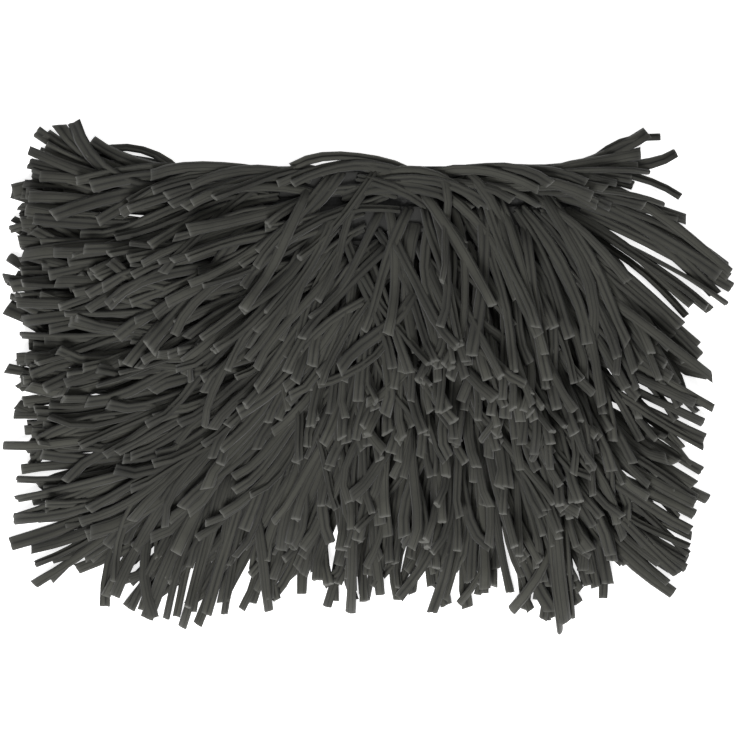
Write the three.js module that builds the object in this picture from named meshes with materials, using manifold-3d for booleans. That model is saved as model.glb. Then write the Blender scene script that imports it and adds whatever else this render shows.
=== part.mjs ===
// A slow feeder mat for a pet: rows of soft jersey strips on a flat ground sheet, combed so that they lie
// over one another like shingles and spill past the sheet on three sides. Food is hidden between the strips.
// Sizes are in millimetres and angles in degrees. +Y is the mat's back edge, and a heading of 0 points along
// +X and 90 along +Y. The mat lies with its underside and the tips of its outer strips at Z = 0.
import * as THREE from "three";
import { mergeVertices } from "three/addons/utils/BufferGeometryUtils.js";
import Module from "manifold-3d";

const wasm = await Module();
wasm.setup();

// The ground sheet.
const GROUND_WIDTH = 268;
const GROUND_DEPTH = 195;
const GROUND_THICK = 3;
const GROUND_CORNER = 12;
const GROUND_CORNER_STEPS = 4;

// The tapes run along X on the sheet. Each holds the roots of two lines of strips, set like bricks.
const TAPE_COUNT = 9;
const TAPE_WIDTH = 16;
const TAPE_HEIGHT = 2.6;
const TAPE_GAP = 0.3;
const TAPE_INSET = 1;
const LINES_PER_TAPE = 2;
const STRIPS_PER_LINE = 15;
const ROOT_INSET = 6;

// A strip, lying flat.
const STRIP_THICK = 2.2;
const STRIP_WIDTH_LEAST = 7.4;
const STRIP_WIDTH_MORE = 1.6;
const SHARES = [0, 0.1, 0.28, 0.5, 0.74, 1]; // where a strip's stations are, as shares of its reach
const ROOT_SUNK = 1; // how far the strip goes into the tape
const LIFT = 0.45; // air left under a strip that lies on others
const SAG = 0.03; // how fast a strip drops past its support, per millimetre
const FIRST_REST = 6; // a strip touches nothing nearer its root than this

// How strips differ from the table below, as shares of its spread and reach, and as degrees of curl.
const SPREAD_FAN = 0.35; // neighbours turn apart by this
const SPREAD_CHANCE = 0.6;
const REACH_LEAST = 0.88;
const REACH_MORE = 0.2;
const CURL_CHANCE = 24;

// Which way the strips lie. Each line of the table is a place from the mat's front to its back, with its
// values at the named distances along X. reach is how far a strip goes in plan, and curl how much it turns.
const LAY_X = [-128, -114, -100, -86, -70, -45, -20, 0, 25, 50, 75, 98, 114, 128];
const LAY = [
  {
    y: -92,
    heading: [207, 220, 229, 237, 245, 252, 250, 255, 261, 269, 275, 279, 285, 309],
    reach: [106, 114, 113, 110, 104, 88, 80, 90, 74, 84, 88, 98, 93, 95],
    curl: [-36, -32, -22, -12, -6, 0, 0, 0, -4, -6, -8, -8, 0, 16],
    spread: [14, 12, 10, 10, 10, 12, 12, 12, 12, 12, 10, 10, 12, 14],
  },
  {
    y: -66,
    heading: [203, 210, 216, 222, 232, 248, 258, 262, 266, 272, 278, 284, 302, 330],
    reach: [100, 106, 106, 104, 98, 88, 84, 86, 80, 84, 86, 94, 94, 90],
    curl: [-44, -38, -26, -16, -8, 0, 0, 0, 0, 0, 0, 4, 12, 16],
    spread: [14, 12, 12, 14, 16, 18, 18, 18, 18, 16, 14, 12, 12, 14],
  },
  {
    y: -44,
    heading: [186, 188, 191, 196, 206, 236, 256, 264, 270, 276, 282, 290, 306, 331],
    reach: [95, 102, 108, 104, 90, 80, 76, 76, 76, 78, 86, 96, 94, 92],
    curl: [-12, -10, -10, -8, -6, 0, 0, 0, 0, 0, 0, 0, 4, 8],
    spread: [14, 14, 16, 18, 22, 26, 26, 26, 26, 22, 18, 16, 14, 14],
  },
  {
    y: 40,
    heading: [169, 173, 177, 182, 192, 218, 242, 256, 268, 276, 282, 286, 302, 327],
    reach: [96, 102, 108, 98, 82, 68, 64, 64, 64, 68, 80, 96, 102, 96],
    curl: [-30, -20, -6, 2, 0, 0, 0, 0, 0, 0, -6, -12, -16, -20],
    spread: [14, 14, 16, 18, 24, 28, 28, 28, 28, 24, 20, 16, 14, 14],
  },
  {
    y: 82,
    heading: [163, 168, 174, 180, 188, 208, 230, 248, 266, 280, 290, 298, 312, 328],
    reach: [97, 102, 108, 98, 82, 66, 60, 60, 60, 62, 72, 90, 104, 108],
    curl: [-34, -24, -8, 2, 0, 0, 0, 0, 0, -4, -12, -22, -28, -28],
    spread: [14, 14, 16, 18, 24, 28, 28, 28, 28, 24, 20, 16, 14, 14],
  },
  {
    y: 92,
    heading: [167, 170, 172, 174, 178, 196, 228, 254, 276, 292, 306, 318, 336, 350],
    reach: [91, 94, 94, 90, 80, 66, 58, 56, 58, 60, 70, 78, 76, 66],
    curl: [-10, 0, 8, 10, 8, 6, 4, 0, -4, -8, -16, -20, -20, -20],
    spread: [16, 14, 14, 16, 18, 18, 18, 18, 18, 18, 16, 16, 18, 20],
  },
];

// Pile grid: one cell a millimetre over the mat's plan.
const GRID_X = 560;
const GRID_Y = 460;
const EDGE_CLEAR = 1;
const BEHIND_ROOT = 2.4;
const READ_STEP = 0.8; // between the crosslines along a strip at which the pile is read
const READ_ASIDE = 6; // points of a crossline to each side of its middle
const COVERED = 0.1; // a root is covered when the pile is this far above its tape
const FIT_PASSES = 30; // times that a strip is gone through and lifted off what it still touches
const LIFT_SHARE = 0.5; // on the first stretch, a lift is worked out as if it were this far along at least
const SAME_POINT = 1e-4;

const radians = (degrees) => (degrees * Math.PI) / 180;
const mix = (a, b, t) => a + (b - a) * t;

// A number from 0 to 1 that is always the same for the same strip, so that no two strips lie alike.
function vary(strip, use) {
  const s = Math.sin(strip * 12.9898 + use * 78.233) * 43758.5453;
  return s - Math.floor(s);
}

// Where value falls in a rising list: the index below it, and the share of the way to the next.
function between(list, value) {
  let i = 0;
  while (i < list.length - 2 && value > list[i + 1]) i += 1;
  const share = (value - list[i]) / (list[i + 1] - list[i]);
  return [i, Math.min(1, Math.max(0, share))];
}

// A column of the LAY table at a root on the ground sheet.
function lay(column, x, y) {
  const [j, v] = between(LAY.map((line) => line.y), y);
  const [i, u] = between(LAY_X, x);
  const along = (line) => mix(line[column][i], line[column][i + 1], u);
  return mix(along(LAY[j]), along(LAY[j + 1]), v);
}

const tapeTop = GROUND_THICK + TAPE_GAP + TAPE_HEIGHT;
const lineCount = TAPE_COUNT * LINES_PER_TAPE;
const linePitch = (GROUND_DEPTH - 2 * ROOT_INSET) / (lineCount - 1);
const lastPlace = STRIPS_PER_LINE - 1.5; // half a place is lost, because the lines are set like bricks
const rootPitch = (GROUND_WIDTH - 2 * ROOT_INSET) / lastPlace;
const lineY = (line) => ROOT_INSET - GROUND_DEPTH / 2 + line * linePitch;
const tapeY = (tape) => (lineY(tape * LINES_PER_TAPE) + lineY((tape + 1) * LINES_PER_TAPE - 1)) / 2;

// The plan of one strip: its root, and stations along an arc.
function planOf(line, place) {
  const id = line * STRIPS_PER_LINE + place;
  const across = place - (line % 2) / 2;
  const x = ROOT_INSET - GROUND_WIDTH / 2 + Math.min(lastPlace, Math.max(0, across)) * rootPitch;
  const y = lineY(line);
  const fan = ((place + (x < 0 ? 2 : 1) * line) % 3) - 1; // neighbours spread apart
  const apart = SPREAD_FAN * fan + SPREAD_CHANCE * (vary(id, 1) - 0.5);
  const heading = lay("heading", x, y) + lay("spread", x, y) * apart;
  const reach = lay("reach", x, y) * (REACH_LEAST + REACH_MORE * vary(id, 3));
  const curl = lay("curl", x, y) + CURL_CHANCE * (vary(id, 4) - 0.5);
  const width = STRIP_WIDTH_LEAST + STRIP_WIDTH_MORE * vary(id, 5);
  const stations = [{ x, y, turn: heading - curl / 2 }];
  for (let i = 1; i < SHARES.length; i += 1) {
    const last = stations[i - 1];
    const length = reach * (SHARES[i] - SHARES[i - 1]);
    const along = radians(heading + curl * ((SHARES[i] + SHARES[i - 1]) / 2 - 0.5));
    stations.push({
      x: last.x + Math.cos(along) * length,
      y: last.y + Math.sin(along) * length,
      turn: heading + curl * (SHARES[i] - 0.5),
    });
  }
  return { width, stations };
}

// How high the mat stands so far, cell by cell, and which tape's strip is on top there. It starts as the bare
// ground sheet with its tapes.
const pile = new Float32Array(GRID_X * GRID_Y);
const owner = new Int8Array(GRID_X * GRID_Y).fill(-1);
const cell = (x, y) => Math.round(y + GRID_Y / 2) * GRID_X + Math.round(x + GRID_X / 2);
for (let y = -GROUND_DEPTH / 2; y <= GROUND_DEPTH / 2; y += 1) {
  for (let x = -GROUND_WIDTH / 2; x <= GROUND_WIDTH / 2; x += 1) pile[cell(x, y)] = tapeTop;
}

// Visits a strip's plan crossline by crossline: act gets the stretch, the share along it, the distance from
// the root and the crossline's points. The first ones lie behind the root, where the strip bends over.
function alongStrip({ stations }, halfWidth, act) {
  let passed = 0;
  for (let i = 0; i < stations.length - 1; i += 1) {
    const [a, b] = [stations[i], stations[i + 1]];
    const length = Math.hypot(b.x - a.x, b.y - a.y);
    const steps = Math.ceil(length / READ_STEP);
    const first = i === 0 ? -Math.round(BEHIND_ROOT / READ_STEP) : 0;
    for (let n = first; n <= steps; n += 1) {
      const u = n / steps;
      const side = radians(mix(a.turn, b.turn, u) + 90);
      const points = [];
      for (let m = -READ_ASIDE; m <= READ_ASIDE; m += 1) {
        const off = (halfWidth * m) / READ_ASIDE;
        points.push([mix(a.x, b.x, u) + Math.cos(side) * off, mix(a.y, b.y, u) + Math.sin(side) * off]);
      }
      act(i, u, passed + length * u, points);
    }
    passed += length;
  }
}

// Lays a strip on what is there, and adds it to the pile. The strip rises straight from its root to the first
// thing that it lies on, and sags from there on to the next. A strip whose root is covered is left out.
function layStrip(strip, tape) {
  const { stations, width } = strip;
  const half = STRIP_THICK / 2;
  const lines = [];
  alongStrip(strip, width / 2 + EDGE_CLEAR, (i, u, s, points) => {
    const cells = points.map(([x, y]) => cell(x, y)).filter((at) => s > FIRST_REST || owner[at] !== tape);
    const under = Math.max(s > FIRST_REST ? 0 : tapeTop, ...cells.map((at) => pile[at]));
    lines.push({ i, u, s, under, need: half + (under > 0 ? under + LIFT : 0) });
  });
  if (lines.some(({ s, under }) => s < BEHIND_ROOT && under > tapeTop + COVERED)) return false;

  const start = tapeTop + LIFT + half;
  const draped = (s) => Math.max(...lines.map((line) => line.need - SAG * (line.s - s) ** 2));
  const ahead = lines.filter(({ s }) => s > FIRST_REST);
  const slopes = ahead.map(({ s }) => (draped(s) - start) / s);
  const steepest = Math.max(...slopes);
  const rest = ahead[slopes.indexOf(steepest)].s;
  stations[0].z = start;
  lines.filter(({ u }) => u === 1).forEach(({ i, s }) => {
    stations[i + 1].z = s < rest ? start + steepest * s : draped(s);
  });
  for (let pass = 0; pass < FIT_PASSES; pass += 1) {
    for (const { i, u, need } of lines) {
      const short = need - mix(stations[i].z, stations[i + 1].z, Math.max(0, u));
      if (short <= 0) continue;
      if (i === 0) {
        stations[1].z += short / Math.max(LIFT_SHARE, u);
      } else {
        const weight = (1 - u) ** 2 + u ** 2;
        stations[i].z += (short * (1 - u)) / weight;
        stations[i + 1].z += (short * u) / weight;
      }
    }
  }
  alongStrip(strip, width / 2, (i, u, s, points) => {
    const top = mix(stations[i].z, stations[i + 1].z, Math.max(0, u)) + half;
    points.map(([x, y]) => cell(x, y)).forEach((at) => {
      if (top > pile[at]) [pile[at], owner[at]] = [top, tape];
    });
  });
  return true;
}

// A closed mesh made a manifold solid, for the joins.
function solid(geometry) {
  const bare = geometry.clone();
  bare.deleteAttribute("normal");
  bare.deleteAttribute("uv");
  const merged = mergeVertices(bare, SAME_POINT);
  return new wasm.Manifold(
    new wasm.Mesh({
      numProp: 3,
      vertProperties: merged.attributes.position.array,
      triVerts: new Uint32Array(merged.index.array),
    }),
  );
}

function geometryOf(manifold) {
  const mesh = manifold.getMesh();
  return new THREE.BufferGeometry()
    .setAttribute("position", new THREE.BufferAttribute(mesh.vertProperties, 3))
    .setIndex(new THREE.BufferAttribute(mesh.triVerts, 1))
    .toNonIndexed();
}

// A laid strip as a four-sided band: it rises from its tape, bends over and runs through its stations. Each
// section is given by its centre, its side direction and the direction of its thickness.
function bandOf(strip) {
  const half = STRIP_THICK / 2;
  const root = strip.stations[0];
  const ahead = radians(root.turn);
  const [ax, ay] = [Math.cos(ahead), Math.sin(ahead)];
  const up = { x: 0, y: 0, z: half };
  const back = { x: -ax * half, y: -ay * half, z: 0 };
  const sections = [
    { ...root, z: tapeTop - ROOT_SUNK, thick: back },
    ...strip.stations.map((station) => ({ ...station, thick: up })),
  ];
  const points = sections.flatMap(({ x, y, z, turn, thick }) => {
    const side = radians(turn + 90);
    const [dx, dy] = [(Math.cos(side) * strip.width) / 2, (Math.sin(side) * strip.width) / 2];
    return [
      [x - dx - thick.x, y - dy - thick.y, z - thick.z],
      [x - dx + thick.x, y - dy + thick.y, z + thick.z],
      [x + dx + thick.x, y + dy + thick.y, z + thick.z],
      [x + dx - thick.x, y + dy - thick.y, z - thick.z],
    ];
  });
  const faces = [];
  for (let i = 0; i < sections.length - 1; i += 1) {
    for (let k = 0; k < 4; k += 1) {
      const [a, b] = [i * 4 + k, i * 4 + ((k + 1) % 4)];
      faces.push([a, b + 4, b], [a, a + 4, b + 4]);
    }
  }
  const end = (sections.length - 1) * 4;
  faces.push([0, 1, 2], [0, 2, 3], [end, end + 2, end + 1], [end, end + 3, end + 2]);
  return new wasm.Manifold(
    new wasm.Mesh({
      numProp: 3,
      vertProperties: new Float32Array(points.flat()),
      triVerts: new Uint32Array(faces.flat()),
    }),
  );
}

function tapeBar(tape) {
  const bar = new THREE.BoxGeometry(GROUND_WIDTH - 2 * TAPE_INSET, TAPE_WIDTH, TAPE_HEIGHT);
  bar.translate(0, tapeY(tape), GROUND_THICK + TAPE_GAP + TAPE_HEIGHT / 2);
  return solid(bar);
}

// A tape's strips. The front line is laid first, and in a line the outer strips, so that each lies over the
// roots ahead of it.
function tapeStrips(tape) {
  const strips = [];
  for (let line = tape * LINES_PER_TAPE; line < (tape + 1) * LINES_PER_TAPE; line += 1) {
    const places = Array.from({ length: STRIPS_PER_LINE }, (_, place) => planOf(line, place));
    places.sort((a, b) => Math.abs(b.stations[0].x) - Math.abs(a.stations[0].x));
    strips.push(...places.filter((strip) => layStrip(strip, tape)));
  }
  return strips;
}

function groundSheet() {
  const [w, d, r] = [GROUND_WIDTH / 2, GROUND_DEPTH / 2, GROUND_CORNER];
  const outline = new THREE.Shape()
    .moveTo(-w + r, -d)
    .lineTo(w - r, -d)
    .absarc(w - r, -d + r, r, -Math.PI / 2, 0)
    .absarc(w - r, d - r, r, 0, Math.PI / 2)
    .absarc(-w + r, d - r, r, Math.PI / 2, Math.PI)
    .absarc(-w + r, -d + r, r, Math.PI, Math.PI * 1.5);
  return new THREE.ExtrudeGeometry(outline, {
    depth: GROUND_THICK,
    bevelEnabled: false,
    curveSegments: GROUND_CORNER_STEPS,
  });
}

const jersey = new THREE.MeshStandardMaterial({ color: 0x3f403d, roughness: 0.92, metalness: 0 });
const groundCloth = new THREE.MeshStandardMaterial({ color: 0x1c1c1c, roughness: 0.8, metalness: 0 });

function meshOf(name, geometry, material) {
  geometry.computeVertexNormals();
  const mesh = new THREE.Mesh(geometry, material);
  mesh.name = name;
  return mesh;
}

const mat = new THREE.Group();
mat.add(meshOf("ground_sheet", groundSheet(), groundCloth));
for (let tape = 0; tape < TAPE_COUNT; tape += 1) {
  const joined = tapeStrips(tape).reduce((whole, strip) => whole.add(bandOf(strip)), tapeBar(tape));
  mat.add(meshOf(`strip_tape_${tape + 1}`, geometryOf(joined), jersey));
}

// The origin is the centre of the mat's plan, on the surface that it lies on.
const extent = new THREE.Box3().setFromObject(mat);
const centre = extent.getCenter(new THREE.Vector3());
mat.position.set(-centre.x, -centre.y, 0);

export default mat;
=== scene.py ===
import math

import bpy
import numpy as np
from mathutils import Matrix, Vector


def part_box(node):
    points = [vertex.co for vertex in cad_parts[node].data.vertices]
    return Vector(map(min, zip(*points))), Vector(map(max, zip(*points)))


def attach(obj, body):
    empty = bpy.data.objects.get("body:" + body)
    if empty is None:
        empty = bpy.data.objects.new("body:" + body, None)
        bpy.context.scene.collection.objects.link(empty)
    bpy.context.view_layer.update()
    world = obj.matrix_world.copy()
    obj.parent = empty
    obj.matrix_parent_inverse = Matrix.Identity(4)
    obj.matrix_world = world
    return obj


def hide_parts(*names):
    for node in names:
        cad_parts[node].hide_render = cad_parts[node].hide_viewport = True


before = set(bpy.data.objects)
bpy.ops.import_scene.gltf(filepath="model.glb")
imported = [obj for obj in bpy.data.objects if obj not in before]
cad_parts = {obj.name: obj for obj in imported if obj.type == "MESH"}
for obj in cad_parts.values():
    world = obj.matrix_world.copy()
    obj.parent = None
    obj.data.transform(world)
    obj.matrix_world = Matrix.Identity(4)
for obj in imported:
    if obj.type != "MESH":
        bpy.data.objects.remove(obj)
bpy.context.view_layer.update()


# Ground sheet
# One black rubbery sheet under the whole mat, which keeps it from sliding. Its corners are cut round
# and its edge is moulded soft. The strips' plan is measured in millimetres from its middle.
low, high = (np.array(corner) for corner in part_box("ground_sheet"))
middle = np.append((low[:2] + high[:2]) / 2, 0.0)
sheet_size = (high - low) * 1000.0


def to_frame(x, y, z):
    """Plan millimetres to metres in the mat's frame: a thousandth of each, moved to the sheet's middle."""
    return np.stack([x, y, z], axis=-1) / 1000.0 + middle


def new_piece(name, points, faces, material):
    """A mesh object at the origin with its place in its mesh, riding on the mat's only body.

    Walls of four-cornered faces are smooth, and a face of more corners is a flat end.
    """
    mesh = bpy.data.meshes.new(name)
    mesh.from_pydata(points.reshape(-1, 3).tolist(), [], faces)
    mesh.polygons.foreach_set("use_smooth", [len(face) < 5 for face in faces])
    mesh.materials.append(material)
    mesh.update()
    piece = bpy.data.objects.new(name, mesh)
    bpy.context.scene.collection.objects.link(piece)
    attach(piece, "root")
    return piece


class Wire:
    """A shader socket. The sum, difference or product of wires and numbers is a Math node."""

    def __init__(self, tree, socket=None):
        self.tree, self.socket = tree, socket

    def node(self, kind, settings=None, sockets=None, out=0):
        """Any node: its settings first, then its sockets, by name or place, from wires or plain values."""
        made = self.tree.nodes.new(kind)
        for key, value in (settings or {}).items():
            setattr(made, key, value)
        for key, value in (sockets or {}).items():
            if isinstance(value, Wire):
                self.tree.links.new(value.socket, made.inputs[key])
            else:
                made.inputs[key].default_value = value
        return Wire(self.tree, made.outputs[out])

    def maths(self, operation, *others):
        """A Math node on this wire and up to two more values."""
        return self.node("ShaderNodeMath", {"operation": operation}, dict(enumerate((self, *others))))

    def blend(self, first, second):
        """The colour that goes from first to second as this wire goes from 0 to 1."""
        return self.node("ShaderNodeMix", {"data_type": "RGBA"}, {0: self, 6: first, 7: second}, out=2)

    def __add__(self, other):
        return self.maths("ADD", other)

    def __sub__(self, other):
        return self.maths("SUBTRACT", other)

    def __rsub__(self, other):
        return self.node("ShaderNodeMath", {"operation": "SUBTRACT"}, {0: other, 1: self})

    def __mul__(self, other):
        return self.maths("MULTIPLY", other)

    __radd__, __rmul__ = __add__, __mul__


def new_material(name, **plain):
    """A material, its shader and a wire to start from. plain gives the shader's own sockets."""
    material = bpy.data.materials.new(name)
    material.use_nodes = True
    shader = material.node_tree.nodes["Principled BSDF"]
    for key, value in plain.items():
        shader.inputs[key.replace("_", " ").title()].default_value = value
    return material, shader, Wire(material.node_tree)


def feed(shader, **wires):
    """Links wires to the shader's sockets by their names."""
    for key, wire in wires.items():
        wire.tree.links.new(wire.socket, shader.inputs[key.replace("_", " ").title()])


rubber, shader, start = new_material("black_rubber_mesh")
place = start.node("ShaderNodeTexCoord", out=3)
pips = start.node(
    "ShaderNodeTexVoronoi",
    {"feature": "F1"},
    {"Vector": place, "Scale": 420.0, "Randomness": 0.0},
)
wear = start.node("ShaderNodeTexNoise", sockets={"Vector": place, "Scale": 60.0, "Detail": 5.0})
dome = (pips * 2.2).maths("SMOOTH_MIN", 1.0, 0.3)
feed(
    shader,
    base_color=(wear * 0.8).blend((0.006, 0.006, 0.006, 1.0), (0.02, 0.02, 0.019, 1.0)),
    roughness=0.55 + wear * 0.3,
    normal=start.node("ShaderNodeBump", sockets={"Strength": 0.6, "Distance": 0.0006, "Height": 1.0 - dome}),
)


def rounded_sheet(width, depth, thick, corner, edge, around=32, rings=5):
    """A flat sheet with round corners and a soft edge, as rings from the underside's middle to the top's.

    Each ring is the outline drawn in by some distance at some height. The outline is a rectangle's four
    corner points, each pushed out along a quarter circle. At the edge the distance and height follow a
    half circle flattened to the sheet's thickness.
    """
    turn = np.linspace(-math.pi / 2, math.pi * 1.5, 4 * around, endpoint=False) + math.pi / 4 / around
    quarter = np.floor((turn + math.pi / 2) / (math.pi / 2)).astype(int) % 4
    out = np.array([[1, -1], [1, 1], [-1, 1], [-1, -1]])[quarter]
    lean = np.linspace(-math.pi / 2, math.pi / 2, 2 * rings)
    inward = np.concatenate([[corner - 1.0], edge * (1 - np.cos(lean)), [corner - 1.0]])
    height = np.concatenate([[0.0], thick * (1 + np.sin(lean)) / 2, [thick]])
    reach = corner - inward[:, None]
    x = out[:, 0] * (width / 2 - corner) + np.cos(turn) * reach
    y = out[:, 1] * (depth / 2 - corner) + np.sin(turn) * reach
    points = to_frame(x, y, np.broadcast_to(height[:, None], x.shape))
    rows, columns = x.shape
    cell = np.arange(rows * columns).reshape(rows, columns)
    beside = np.roll(cell, -1, axis=1)
    faces = np.stack([cell[:-1], beside[:-1], beside[1:], cell[1:]], axis=-1).reshape(-1, 4).tolist()
    return points, faces + [cell[0][::-1].tolist(), cell[-1].tolist()]


ground = new_piece("ground_sheet_rubber", *rounded_sheet(*sheet_size, corner=12.0, edge=0.9), rubber)
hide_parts("ground_sheet")


# Tapes
# Nine black tapes across the sheet. Each grips the roots of two lines of strips, and is sewn down
# through the rubber. They only show at the back edge and between strips that lie apart.
tape_count, tape_wide, tape_low, tape_top = 9, 16.0, 3.3, 5.9
tape_inset, root_inset = 1.0, 6.0  # from the sheet's edge
line_y = np.linspace(root_inset - sheet_size[1] / 2, sheet_size[1] / 2 - root_inset, 2 * tape_count)


def tape(y, long, wide, low, top, around=20, rings=40):
    """A bar along X whose section is a squared ring.

    Each point is a power, under 1, of a circle's cosine across and of its sine upward.
    """
    turn = np.linspace(0, 2 * math.pi, around, endpoint=False)
    across = np.sign(np.cos(turn)) * np.abs(np.cos(turn)) ** 0.35 * wide / 2
    upward = np.sign(np.sin(turn)) * np.abs(np.sin(turn)) ** 0.5 * (top - low) / 2
    x = np.linspace(-long / 2, long / 2, rings)[:, None]
    points = to_frame(*np.broadcast_arrays(x, y + across, (low + top) / 2 + upward))
    cell = np.arange(rings * around).reshape(rings, around)
    beside = np.roll(cell, -1, axis=1)
    faces = np.stack([cell[:-1], beside[:-1], beside[1:], cell[1:]], axis=-1).reshape(-1, 4).tolist()
    return points.reshape(-1, 3), faces + [cell[0][::-1].tolist(), cell[-1].tolist()]


webbing, shader, start = new_material("black_webbing")
place = start.node("ShaderNodeTexCoord", out=3)
weave = start.node(
    "ShaderNodeTexVoronoi",
    {"feature": "F1"},
    {"Vector": place, "Scale": 900.0, "Randomness": 0.1},
)
feed(
    shader,
    base_color=weave.blend((0.016, 0.016, 0.015, 1.0), (0.03, 0.03, 0.028, 1.0)),
    roughness=0.8 + weave * 0.15,
    normal=start.node("ShaderNodeBump", sockets={"Strength": 0.5, "Distance": 0.0003, "Height": weave}),
)
points, faces = [], []
for pair in line_y.reshape(-1, 2):
    bar, sides = tape(pair.mean(), sheet_size[0] - 2 * tape_inset, tape_wide, tape_low, tape_top)
    faces += [[corner + len(bar) * len(points) for corner in side] for side in sides]
    points.append(bar)
tapes = new_piece("tapes", np.array(points), faces, webbing)


# Jersey strips
# Grey cotton jersey cut into strips, which curl into soft tubes along their cut edges. They are
# gripped by the tapes in close lines and combed out over the left, front and right edges, so each
# lies over the roots of those beyond it. Lengths are in millimetres and headings in degrees.

# The combing: a row for each place from front to back in lay_y, and a column for each place along X in
# lay_x. A reach is a strip's length in plan, a curl is how much it turns along that, and a spread is how
# far its heading strays from its neighbours'.
lay_x = np.array([-128, -114, -100, -86, -70, -45, -20, 0, 25, 50, 75, 98, 114, 128])
lay_y = np.array([-92, -66, -44, -24, 40, 82, 92])
headings = [
    [207, 220, 229, 237, 245, 252, 250, 255, 261, 269, 275, 279, 285, 309],
    [203, 210, 216, 222, 232, 248, 258, 262, 266, 272, 278, 284, 302, 330],
    [186, 188, 191, 196, 206, 236, 256, 264, 270, 276, 282, 290, 306, 331],
    [182, 184, 188, 192, 202, 231, 253, 262, 270, 276, 282, 289, 305, 330],
    [169, 173, 177, 182, 192, 218, 242, 256, 268, 276, 282, 286, 302, 327],
    [163, 168, 174, 180, 188, 208, 230, 248, 266, 280, 290, 298, 312, 328],
    [167, 170, 172, 174, 178, 190, 222, 250, 282, 320, 345, 362, 366, 362],
]
reaches = [
    [106, 114, 113, 110, 104, 88, 80, 90, 74, 84, 88, 98, 93, 95],
    [100, 106, 106, 104, 98, 88, 84, 86, 80, 84, 86, 94, 94, 90],
    [99, 109, 117, 110, 100, 92, 88, 88, 88, 88, 90, 96, 94, 92],
    [99, 109, 117, 108, 92, 74, 66, 66, 66, 68, 80, 96, 96, 93],
    [99, 110, 118, 108, 98, 90, 88, 88, 88, 88, 90, 98, 102, 96],
    [100, 110, 118, 108, 98, 88, 86, 84, 84, 86, 90, 102, 110, 110],
    [93, 97, 98, 94, 88, 80, 76, 76, 76, 76, 78, 70, 60, 60],
]
curls = [
    [-36, -32, -22, -12, -6, 0, 0, 0, -4, -6, -8, -8, 0, 16],
    [-44, -38, -26, -16, -8, 0, 0, 0, 0, 0, 0, 4, 12, 16],
    [-12, -10, -10, -8, -6, 0, 0, 0, 0, 0, 0, 0, 4, 8],
    [-16, -12, -9, -7, -4, 0, 0, 0, 0, 0, -2, -3, 0, 1],
    [-30, -20, -6, 2, 0, 0, 0, 0, 0, 0, -6, -12, -16, -20],
    [-34, -24, -8, 2, 0, 0, 0, 0, 0, -4, -12, -22, -28, -28],
    [-10, 0, 8, 16, 24, 30, 20, 0, -20, -30, -40, -30, -20, -20],
]
spreads = [
    [6, 6, 5, 5, 5, 5, 5, 5, 5, 5, 5, 5, 6, 7],
    [6, 6, 6, 7, 8, 9, 9, 9, 9, 8, 7, 7, 7, 7],
    [6, 6, 8, 10, 14, 18, 18, 18, 18, 14, 10, 9, 8, 7],
    [6, 6, 8, 10, 14, 19, 19, 19, 19, 15, 10, 9, 8, 7],
    [7, 6, 7, 10, 16, 22, 24, 24, 24, 18, 12, 9, 8, 7],
    [8, 7, 7, 10, 16, 22, 24, 24, 24, 18, 12, 9, 8, 7],
    [9, 8, 8, 12, 16, 20, 22, 22, 22, 18, 14, 9, 10, 12],
]
strips_a_line = np.array([78, 72, 64, 56, 50] + [46] * 13)  # from the front line to the back
crowding = 0.22  # how much closer the roots are towards a line's ends
root_stray = 2.4  # how far a root may lie from its even place
steps = 61  # points along a strip while it is laid
stations = [0, 8, 17, 26, 35, 44, 52, 60]  # those that carry a ring of the strip's mesh
chance = np.random.default_rng(41)


def combed(table, x, y):
    """A table's value at each root: straight lines between its columns, then between its rows."""
    rows = np.array([np.interp(x, lay_x, row) for row in table])
    row = np.clip(np.searchsorted(lay_y, y) - 1, 0, len(lay_y) - 2)
    share = np.clip((y - lay_y[row]) / (lay_y[row + 1] - lay_y[row]), 0, 1)
    column = np.arange(len(x))
    return rows[row, column] * (1 - share) + rows[row + 1, column] * share


line = np.repeat(np.arange(2 * tape_count), strips_a_line)
count = len(line)
even = np.concatenate([np.linspace(-1, 1, amount) for amount in strips_a_line])
root_x = lay_x[-1] * ((1 + crowding) * even - crowding * even**3)
root_x += chance.uniform(-root_stray, root_stray, count)
root_y = line_y[line] + chance.uniform(-root_stray, root_stray, count)


def lock(lengths, amounts):
    """What neighbours in a line share, so that they gather into locks.

    It is the sum of one sine wave along the line for each length and amount, started at a place of that
    line's own.
    """
    total = np.zeros(count)
    for length, amount in zip(lengths, amounts):
        start = chance.uniform(0, 2 * math.pi, 2 * tape_count)[line]
        total += amount * np.sin(2 * math.pi * root_x / length + start)
    return total


def distance_out(x, y, heading):
    """How far it is from a root to the ground sheet's edge, along the heading."""
    go_x, go_y = np.cos(np.radians(heading)), np.sin(np.radians(heading))
    to_side = (np.sign(go_x) * sheet_size[0] / 2 - x) / go_x
    to_end = (np.sign(go_y) * sheet_size[1] / 2 - y) / go_y
    return np.minimum(to_side, to_end)


edge_band, edge_least = 40, 0.22  # the locks are weaker this near the sheet's edge, down to this share
spread = combed(spreads, root_x, root_y)
heading = combed(headings, root_x, root_y)
inside = np.clip(distance_out(root_x, root_y, heading) / edge_band, edge_least, 1)
heading += inside * lock((95, 47, 26), (7, 9, 7)) + spread * chance.normal(0, 1, count)
reach = combed(reaches, root_x, root_y) * chance.uniform(0.91, 1.04, count)
reach *= 1 + lock((60, 31), (0.02, 0.02))
curl = combed(curls, root_x, root_y) + lock((80, 41), (12, 12)) + (6 + spread) * chance.normal(0, 1, count)
hook_most = 38  # past this, a strip's few faces would show as a kink
hook = np.clip(chance.normal(0, 22, count), -hook_most, hook_most)
wave = chance.normal(0, 5, count)

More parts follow.
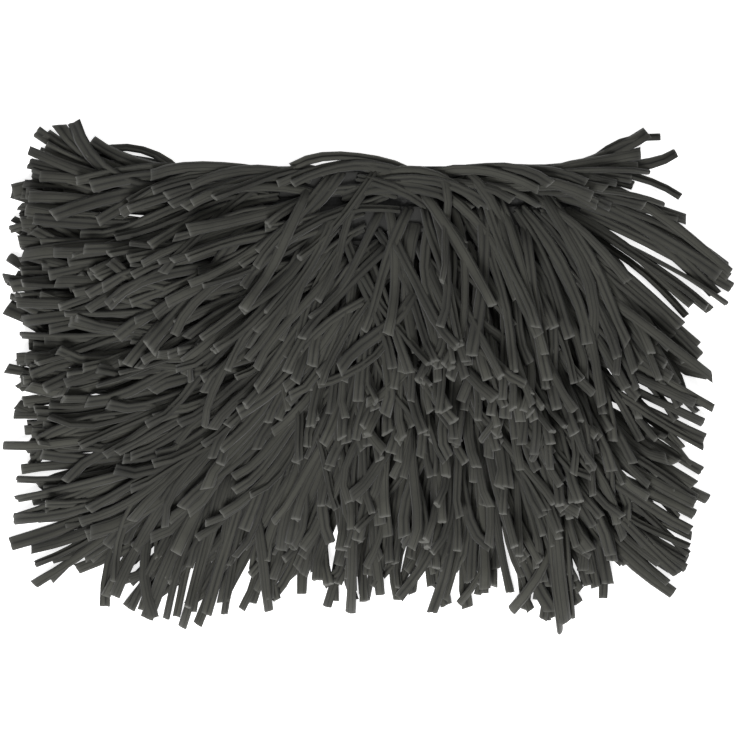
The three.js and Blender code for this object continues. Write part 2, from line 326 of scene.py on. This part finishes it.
# About half of the back tape's strips bend round to one side or the other, so that they cover the edge.
# The last three tapes' other strips are kept from turning back over it.
back_within, back_share, forward_within = 100, 0.55, 96
forward_least, forward_most, forward_curl = 196, 344, 30
rightward_heading, leftward_heading = -5, 185
back = (line >= 2 * tape_count - 2) & (np.abs(root_x) < back_within) & (chance.random(count) < back_share)
rightward = chance.random(count) < 0.5 + root_x / 120
round_back = 64 - 0.4 * np.abs(root_x) + chance.normal(0, 6, count)
forward = (line >= 2 * tape_count - 6) & (np.abs(root_x) < forward_within)
heading[forward] = np.clip(heading[forward], forward_least, forward_most)
curl[forward] = np.clip(curl[forward], -forward_curl, forward_curl)
hook[forward] *= 0.5
heading[back] = np.where(rightward, rightward_heading, leftward_heading)[back]
heading[back] += chance.normal(0, 4, back.sum())
curl[back] = np.where(rightward, -round_back, round_back)[back]
hook[back] = 0.0

# Single strips that catch the eye at the rim, each by its root's X and Y, its tip's X and Y, and its curl.
singles = np.array([
    (-125, 90, -195, 123, -60), (-122, 87, -186, 124, -80), (-107, 90, -174, 113, -30),
    (-120, 91, -178, 104, 80), (-124, 85, -203, 109, -12), (-119, 78, -213, 107, -10),
    (-124, 76, -213, 99, 8), (-127, 54, -205, 49, 0), (-124, -64, -208, -73, 50),
    (-119, -54, -229, -77, -35), (-122, -88, -167, -176, 60), (-116, -86, -161, -161, 60),
    (-125, -91, -198, -148, -50), (-107, -91, -166, -170, 20), (-124, -90, -136, -183, 50),
    (-76, -91, -64, -179, 0), (50, -91, 17, -171, -30), (78, -90, 53, -175, -40),
    (117, -91, 87, -179, -45), (79, -90, 112, -179, 15), (109, -91, 117, -192, 10),
    (117, -90, 188, -168, 25), (126, -64, 202, -109, 0), (128, -31, 206, -77, 5),
    (126, -5, 212, -53, 0), (126, 26, 211, -34, -8), (123, 51, 204, -21, -10),
    (128, 73, 224, 22, -10), (124, 90, 223, 31, -32), (117, 88, 192, 79, -50),
    (117, 90, 171, 119, 10), (113, 90, 167, 106, -10), (104, 90, 172, 94, -20),
    (117, 76, 181, 74, -30), (-126, -89, -225, -138, -15), (-125, -86, -221, -110, -10),
    (-127, -85, -218, -91, 0), (-123, -90, -210, -163, -15), (-122, -91, -200, -160, 10),
    (-125, -82, -221, -122, -10), (-119, -90, -209, -150, -25), (-115, -91, -212, -141, -30),
    (127, -88, 199, -133, 10), (126, -91, 195, -153, 15), (127, -82, 201, -119, 0),
    (123, -91, 184, -162, 20), (128, -85, 197, -144, 0), (-68, -91, -93, -181, 10),
    (-76, -91, -103, -181, 0), (-82, -91, -108, -188, -10), (-89, -91, -118, -189, 0),
    (-97, -91, -128, -184, 10), (51, -91, 37, -180, -20), (58, -91, 45, -172, -15),
    (-122, -73, -204, -104, -50), (-119, -76, -202, -113, -50), (-124, -67, -206, -77, -40),
    (-122, -70, -205, -82, -40), (-116, -82, -181, -124, -40), (-113, -85, -177, -132, -40),
    (-124, -79, -221, -98, -30), (-120, -80, -223, -122, -30), (128, 60, 221, 12, -15),
    (126, 66, 210, 7, -15), (122, 70, 200, 12, -10), (126, 45, 203, -14, -10),
    (128, 76, 222, 28, -25), (-127, 90, -207, 106, -10), (-128, 81, -216, 87, 8),
    (-125, 81, -211, 93, -12), (-128, 70, -218, 72, 6), (-126, 70, -214, 80, -14),
    (-128, 59, -217, 62, 10), (-125, 59, -213, 67, -8), (-128, 48, -219, 50, -6),
    (-125, 48, -216, 42, 10), (-128, 37, -218, 38, 8), (-126, 26, -215, 24, -8),
    (-128, 16, -219, 12, -10), (-127, 5, -216, 1, 6), (-128, -6, -218, -8, -8),
    (-126, -16, -215, -22, -12), (-128, -27, -217, -36, -12), (126, 62, 196, 4, -14),
    (124, 56, 192, -2, -12), (128, 66, 208, 10, -16), (127, 72, 214, 18, -20),
    (127, 84, 222, 36, -26), (125, 80, 216, 30, -24), (126, -24, 206, -62, 0),
    (125, -16, 200, -50, 0), (127, -35, 207, -72, 0), (127, -80, 199, -128, 8),
    (126, -86, 197, -140, 14), (124, -90, 196, -147, 12), (-127, 67, -214, 69.5, 0),
    (-124, 66, -209, 64, -6), (-126, 75, -212, 78, 4), (-125, 86, -206, 90, -6),
    (62, -92, 62, -160, 4), (66, -91, 70, -165, -6), (127, -75, 200, -112, 4),
    (122, -91, 186, -152, 14), (120, -92, 178, -150, 10), (126, -90, 190, -156, 16),
    (113, -91, 120, -186, 6), (115, -92, 124, -184, 8), (-97, -91, -122, -183, 6),
    (-93, -91, -114, -176, 4), (76, -91, 86, -168, 4), (-8, -91, -13, -180, 0),
    (-105, -91, -150, -178, 10), (-100, -91, -140, -184, 8), (-112, -91, -160, -170, 14),
], dtype=float)  # fmt: skip
chosen = []  # each takes over the strip whose root is nearest
for from_x, from_y, to_x, to_y, bend in singles:
    away = np.hypot(root_x - from_x, root_y - from_y)
    away[chosen] = np.inf
    n = away.argmin()
    chosen.append(n)
    half = math.radians(bend) / 2
    span = math.hypot(to_x - root_x[n], to_y - root_y[n])
    reach[n] = span * half / math.sin(half) if half else span
    heading[n] = math.degrees(math.atan2(to_y - root_y[n], to_x - root_x[n]))
    curl[n], hook[n], wave[n] = bend, 0.0, wave[n] * 0.4
narrow, broad, broader, broader_share, left_broader = 5.0, 7.2, 1.6, 0.1, 1.1
wide = chance.uniform(narrow, broad, count) + broader * (chance.random(count) < broader_share)
wide[(root_x < -70) & (root_y > -20)] += left_broader
thick = 5.0 - 0.28 * wide + chance.uniform(-0.2, 0.2, count)


def plan_of(heading, reach, curl):
    """Each strip's path in plan, from its root, in small steps.

    The heading turns evenly by curl along the reach, with a slow wave on top and a hook over the last
    third. Gives the points, and the headings in radians.
    """
    share = np.linspace(0, 1, steps)
    sway = wave[:, None] * np.sin(share * chance.uniform(4, 8, (count, 1)) + chance.uniform(0, 6, (count, 1)))
    bent = hook[:, None] * (np.maximum(share - 0.65, 0) / 0.35) ** 2
    turn = np.radians(heading[:, None] + curl[:, None] * (share - 0.5) + sway + bent)
    step = reach[:, None] / (steps - 1)
    x = np.cumsum(np.cos(turn) * step, axis=1) - np.cos(turn[:, :1]) * step
    y = np.cumsum(np.sin(turn) * step, axis=1) - np.sin(turn[:, :1]) * step
    return x + root_x[:, None], y + root_y[:, None], turn


path_x, path_y, turn = plan_of(heading, reach, curl)
pressed = 2.0  # how thick a strip is to the next one that lies on it
nested = 2.0  # how much lower a strip's edges lie than its middle
sag = 0.15  # how fast a strip drops past its support, per millimetre
root_rise = 0.8  # how high over its tape a strip leaves it
steepest = 1.3  # of that rise, to the first thing that it rests on
free_steps = 5  # steps from the root in which a strip rests on nothing
smooth_steps = 7
tip_lift_spread = 2.2
feelers = np.linspace(-0.45, 0.45, 7)  # where across a strip the pile is met, as shares of its width

# The pile is a grid of heights with a cell for each millimetre, and starts as the tapes' top over the sheet.
grid_x, grid_y = 300, 250  # the cell at the sheet's middle
sheet_x, sheet_y = 134, 97  # cells from there to the sheet's edges
pile = np.zeros((2 * grid_x, 2 * grid_y))
pile[grid_x - sheet_x : grid_x + 1 + sheet_x, grid_y - sheet_y : grid_y + 1 + sheet_y] = tape_top
path_z = np.zeros((count, steps))
tip_lift = np.abs(chance.normal(0, tip_lift_spread, count))


def smoothed(z, points):
    """The running mean of z over so many points, with the ends held."""
    padded = np.pad(z, points // 2, mode="edge")
    return np.convolve(padded, np.ones(points) / points, mode="valid")


def laid(n):
    """The height of strip n along its path, over the pile as it stands.

    Across the strip the pile is met by a round underside, so a strip nests between its neighbours. Each
    height that it has to clear is held by a drooping parabola to both sides, and the strip follows the
    highest of them. From the root it rises in a straight line to the first that it touches, and its tip
    lifts a little.
    """
    far = np.linspace(0, reach[n], steps)
    dip = nested * (2 * feelers) ** 2
    x = np.rint(path_x[n][:, None] - np.sin(turn[n])[:, None] * feelers * wide[n] + grid_x).astype(int)
    y = np.rint(path_y[n][:, None] + np.cos(turn[n])[:, None] * feelers * wide[n] + grid_y).astype(int)
    under = (pile[x, y] - dip).max(axis=1)
    need = np.maximum(under + pressed / 2, thick[n] / 2)
    draped = (need - sag * (far[:, None] - far) ** 2).max(axis=1)
    start = tape_top + root_rise
    slope = (draped - start)[free_steps:] / far[free_steps:]
    rest = free_steps + slope.argmax()
    z = np.where(np.arange(steps) < rest, start + min(slope.max(), steepest) * far, draped)
    z = smoothed(z, smooth_steps) + tip_lift[n] * np.linspace(0, 1, steps) ** 5
    np.maximum.at(pile, (x, y), z[:, None] + pressed / 2 - dip)
    return z


# The strips nearest the edge that they head for are laid first, and the singles later than their neighbours.
singles_later = 30.0
turn_to_lie = distance_out(root_x, root_y, heading) + chance.uniform(-5, 5, count)
turn_to_lie[chosen] += singles_later
for n in np.argsort(turn_to_lie):
    path_z[n] = laid(n)


groove_point, rim_points = 6, (0, 4)  # of the eight points of a section
point_pitch = 1.6  # from one point of a section to the next


def section(wide, thick):
    """A curled strip's section, as offsets across and up for eight points.

    The face is the upper half of an eight-sided ring. Below it lie the two rolled edges, with a groove
    between them that comes up to the middle of the section.
    """
    across = np.array([1.0, 0.74, 0.0, -0.74, -1.0, -0.5, 0.0, 0.5])
    up = np.array([0.05, 0.78, 1.0, 0.78, 0.05, -1.0, 0.1, -1.0])
    return across * wide[:, None] / 2, up * thick[:, None] / 2


flipped_share = 0.62  # of the strips, which lie with the groove up
flipped = chance.random(count) < flipped_share
roll_start = np.radians(chance.normal(0, 18, count) + 180.0 * flipped)
roll_drift = np.radians(chance.normal(0, 27, count))
flared = chance.uniform(0.2, 1.0, count)
slant = np.tan(np.radians(chance.normal(0, 12, count)))
tone = chance.random(count)
swell = chance.uniform(0, 2 * math.pi, count)
root_sunk = 1.5  # how deep in its tape a strip starts
floor_gap = 0.05


def strip_rings(pick):
    """Rings of points along the picked strips.

    A strip starts inside its tape and then runs through its stations. Each ring stands square to the path,
    rolled about it by an angle that drifts along the strip, and its width swells and narrows in a slow
    wave. The last ring flares, its groove is shallower, and it is cut raggedly on a slant. No point is
    nearer the floor than a small gap.
    """
    run = np.stack([path[pick][:, stations] for path in (path_x, path_y, path_z)], axis=-1)
    foot = run[:, :1] * [1, 1, 0] + [0, 0, tape_top - root_sunk]
    centre = np.concatenate([foot, run], axis=1)
    along = np.gradient(centre, axis=1)
    along /= np.linalg.norm(along, axis=-1, keepdims=True)
    side_turn = turn[pick][:, [0] + stations]
    side = np.stack([-np.sin(side_turn), np.cos(side_turn), np.zeros_like(side_turn)], axis=-1)
    up = np.cross(along, side)
    share = np.linspace(0, 1, centre.shape[1])
    roll = roll_start[pick, None] + roll_drift[pick, None] * share
    across, lift = section(wide[pick], thick[pick])
    fat = 1 + 0.08 * np.sin(9 * share + swell[pick, None])
    fat[:, -1] += 0.08 * flared[pick]
    across, lift = across[:, None] * fat[..., None], lift[:, None] / fat[..., None] ** 0.5
    lift[:, -1, groove_point] *= -4.0
    a = across * np.cos(roll)[..., None] - lift * np.sin(roll)[..., None]
    b = across * np.sin(roll)[..., None] + lift * np.cos(roll)[..., None]
    rings = centre[:, :, None] + side[:, :, None] * a[..., None] + up[:, :, None] * b[..., None]
    cut_past = a[:, -1] * slant[pick, None] + chance.uniform(-0.3, 0.3, a[:, -1].shape)
    rings[:, -1] += along[:, -1:] * cut_past[..., None]
    rings[..., 2] = np.maximum(rings[..., 2], floor_gap)
    return rings


def strips_mesh(pick):
    """The picked strips as one mesh, each closed by a flat face at its root and at its cut end.

    Gives the points, the faces and, for each point, whether it is on the cut edge, in the groove or on
    the rim where the edges roll under, its distances round and along the strip, and the strip's own tone.
    """
    rings = strip_rings(pick)
    amount, rows, columns, _ = rings.shape
    points = rings.reshape(amount, -1, 3)
    cell = np.arange(rows * columns).reshape(rows, columns)
    beside = np.roll(cell, -1, axis=1)
    wall = np.stack([cell[:-1], beside[:-1], beside[1:], cell[1:]], axis=-1).reshape(-1, 4)
    size = cell.size
    faces = []
    for k in range(amount):
        faces += (wall + k * size).tolist()
        faces += [(cell[0][::-1] + k * size).tolist(), (cell[-1] + k * size).tolist()]
    cut = np.zeros(size)
    cut[-columns:] = 1.0
    groove = np.tile(np.arange(columns) == groove_point, rows)
    rim = np.tile(np.isin(np.arange(columns), rim_points), rows)
    around = np.tile(np.abs(np.arange(columns) - 2) * point_pitch, rows)
    far = np.repeat(np.linspace(0, 1, rows), columns)
    every = np.ones((amount, 1))
    marks = {
        "cut": cut * every,
        "groove": groove * every,
        "rim": rim * every,
        "around": around * every,
        "along": far * reach[pick][:, None],
        "tone": tone[pick][:, None] * np.ones(size),
    }
    return points, faces, marks


jersey, shader, start = new_material("charcoal_jersey", sheen_weight=0.1, sheen_roughness=0.5)


def mark(name):
    """The wire of a number that every point of the strips carries."""
    return start.node("ShaderNodeAttribute", {"attribute_name": name}, out=2)


cut_edge, groove, rim = mark("cut"), mark("groove"), mark("rim")
around, along, strip_tone = mark("around"), mark("along"), mark("tone")
place = start.node("ShaderNodeTexCoord", out=3)
wash = start.node("ShaderNodeTexNoise", sockets={"Vector": place, "Scale": 45.0, "Detail": 3.0})
fuzz = start.node("ShaderNodeTexNoise", sockets={"Vector": place, "Scale": 900.0, "Detail": 4.0})

# The knit's wales run along a strip, and its courses run round it. Beside the face's middle lies a fold.
wale = (around * 7.0).maths("SINE")
course = (along * 9.0 + wale * 0.9).maths("SINE")
crease = groove.maths("POWER", 2.0)
apart = around - (0.5 + strip_tone * 0.9)
fold = (1.0 - apart.maths("ABSOLUTE") * 4.0).maths("MAXIMUM", 0.0)
shade = 0.05 + strip_tone * 0.4 + wash * 0.75 + (fuzz - 0.5) * 0.5
cloth = shade.maths("MAXIMUM", 0.0).blend((0.011, 0.011, 0.0088, 1.0), (0.048, 0.048, 0.0385, 1.0))
# Painted shade: the groove, the rims where the edges roll under and the fold beside the face's middle are
# painted near black for the shade that falls in them. The groove and the fold are also dents in the bump.
shadowed = (crease * 0.95).maths("MAXIMUM", rim.maths("POWER", 2.0) * 0.85)
painted_shade_mask = shadowed.maths("MAXIMUM", fold * 0.85)
# The cloth's colour with that painted shade laid over it.
cloth_with_painted_shade = painted_shade_mask.blend(cloth, (0.004, 0.004, 0.0035, 1.0))
relief = wale * 0.25 + course * 0.25 + fuzz * 0.9 - crease * 2.0 - fold
feed(
    shader,
    base_color=(cut_edge.maths("POWER", 14.0) * 0.7).blend(cloth_with_painted_shade, (0.1, 0.1, 0.09, 1.0)),
    roughness=0.84 + fuzz * 0.12,
    normal=start.node("ShaderNodeBump", sockets={"Strength": 0.4, "Distance": 0.0003, "Height": relief}),
)

for k in range(tape_count):
    pick = np.flatnonzero(line // 2 == k)
    points, faces, marks = strips_mesh(pick)
    strips = new_piece(f"strips_{k + 1}", to_frame(*np.moveaxis(points, -1, 0)), faces, jersey)
    for name, value in marks.items():
        attribute = strips.data.attributes.new(name, "FLOAT", "POINT")
        attribute.data.foreach_set("value", value.ravel().astype(np.float32))
    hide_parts(f"strip_tape_{k + 1}")


# Studio
# A plain white floor in a bright room, a soft light high in front of the mat and a weak one behind it,
# and the camera straight above. It frames 456 mm, so that a pixel of the square picture is 0.62 mm.
floor_paint, shader, start = new_material("white_floor", roughness=0.9, emission_strength=0.75)
place = start.node("ShaderNodeTexCoord", out=3)
grain = start.node("ShaderNodeTexNoise", sockets={"Vector": place, "Scale": 3.0})
feed(shader, base_color=grain.blend((0.93, 0.93, 0.93, 1.0), (0.95, 0.95, 0.95, 1.0)))
shader.inputs["Emission Color"].default_value = (1.0, 1.0, 1.0, 1.0)
floor_half = 3.0
corners = np.array([[-1, -1, 0], [1, -1, 0], [1, 1, 0], [-1, 1, 0]]) * floor_half
floor_mesh = bpy.data.meshes.new("floor")
floor_mesh.from_pydata(corners.tolist(), [], [[0, 1, 2, 3]])
floor_mesh.materials.append(floor_paint)
floor = bpy.data.objects.new("floor", floor_mesh)
bpy.context.scene.collection.objects.link(floor)


def soft_light(name, place, size, power):
    """A square area light that faces the mat's middle."""
    lamp = bpy.data.lights.new(name, "AREA")
    lamp.size, lamp.energy = size, power
    holder = bpy.data.objects.new(name, lamp)
    holder.location = place
    holder.rotation_euler = (-holder.location).to_track_quat("-Z", "Y").to_euler()
    bpy.context.scene.collection.objects.link(holder)


soft_light("front", (-0.45, -1.2, 1.5), 0.8, 46.0)
soft_light("fill", (0.9, 0.7, 1.5), 1.6, 8.0)
room = bpy.data.worlds.new("room")
room.use_nodes = True
room.node_tree.nodes["Background"].inputs["Color"].default_value = (1.0, 1.0, 1.0, 1.0)
room.node_tree.nodes["Background"].inputs["Strength"].default_value = 0.27
bpy.context.scene.world = room
bpy.context.scene.view_settings.view_transform = "Standard"

height, focus_height = 2.2, 0.012
picture_wide = 0.4563  # at the focus height
aside, ahead = -0.0025, -0.0282  # from the ground sheet's middle to the picture's
eye = bpy.data.cameras.new("camera")
eye.lens = eye.sensor_width * (height - focus_height) / picture_wide
camera = bpy.data.objects.new("camera", eye)
camera.location = (middle[0] + aside, middle[1] + ahead, height)
bpy.context.scene.collection.objects.link(camera)
bpy.context.scene.camera = camera
